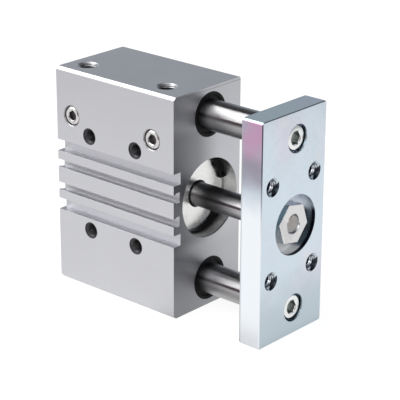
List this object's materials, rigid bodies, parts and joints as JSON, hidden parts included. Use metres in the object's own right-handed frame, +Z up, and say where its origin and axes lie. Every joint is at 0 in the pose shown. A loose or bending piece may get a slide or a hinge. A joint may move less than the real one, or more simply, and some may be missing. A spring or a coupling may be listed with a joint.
{
  "type": "guided pneumatic cylinder",
  "caption": "Compact double-acting air cylinder in an extruded housing with twin guide rods carrying a rectangular tool plate; the plate travels along the guide axis.",
  "frame": {"origin": "centre of the housing's underside", "axes": "+X along the stroke towards the tool plate, +Y away from the face with the sensor slots, +Z up through both guide rods"},
  "size_m": [0.1735, 0.0636, 0.149],
  "materials": {
    "anodised_housing": "satin clear anodised extrusion",
    "turned_aluminium": "bright turned",
    "black_rubber": "moulded nitrile or polyurethane",
    "black_spring_steel": "blackened spring steel",
    "bronze_bush": "sintered",
    "bearing_steel": "ground",
    "bearing_polymer": "moulded",
    "nickel_plated_steel": "nickel plated",
    "zinc_plated_steel": "bright zinc plated",
    "zinc_plated_nut": "bright zinc plated",
    "zinc_plated_screw": "bright zinc plated",
    "chromed_rod": "hard chromed and ground",
    "bonded_magnet": "plastic-bonded ferrite"
  },
  "bodies": {
    "housing_body": {"housing": "anodised_housing", "bearing_cap": "turned_aluminium", "rear_cap": "turned_aluminium", "cap_o_rings": "black_rubber", "retaining_rings": "black_spring_steel", "rod_bush": "bronze_bush", "rod_seal": "black_rubber", "guide_wipers": "black_rubber", "bearing_sleeves": "bearing_steel", "ball_cages": "bearing_polymer", "port_plugs": "nickel_plated_steel"},
    "carriage": {"tool_plate": "zinc_plated_steel", "upper_guide_rod": "chromed_rod", "lower_guide_rod": "chromed_rod", "piston_rod": "chromed_rod", "piston": "turned_aluminium", "piston_seals": "black_rubber", "magnet_ring": "bonded_magnet", "wear_ring": "bearing_polymer", "piston_bumpers": "black_rubber", "rod_nut": "zinc_plated_nut", "piston_nut": "zinc_plated_nut", "plate_screws": "zinc_plated_screw"}
  },
  "joints": [
    {"name": "stroke_slide", "type": "slide", "parent": "housing_body", "child": "carriage", "axis": [1, 0, 0], "range_m": [-0.05, 0]}
  ]
}
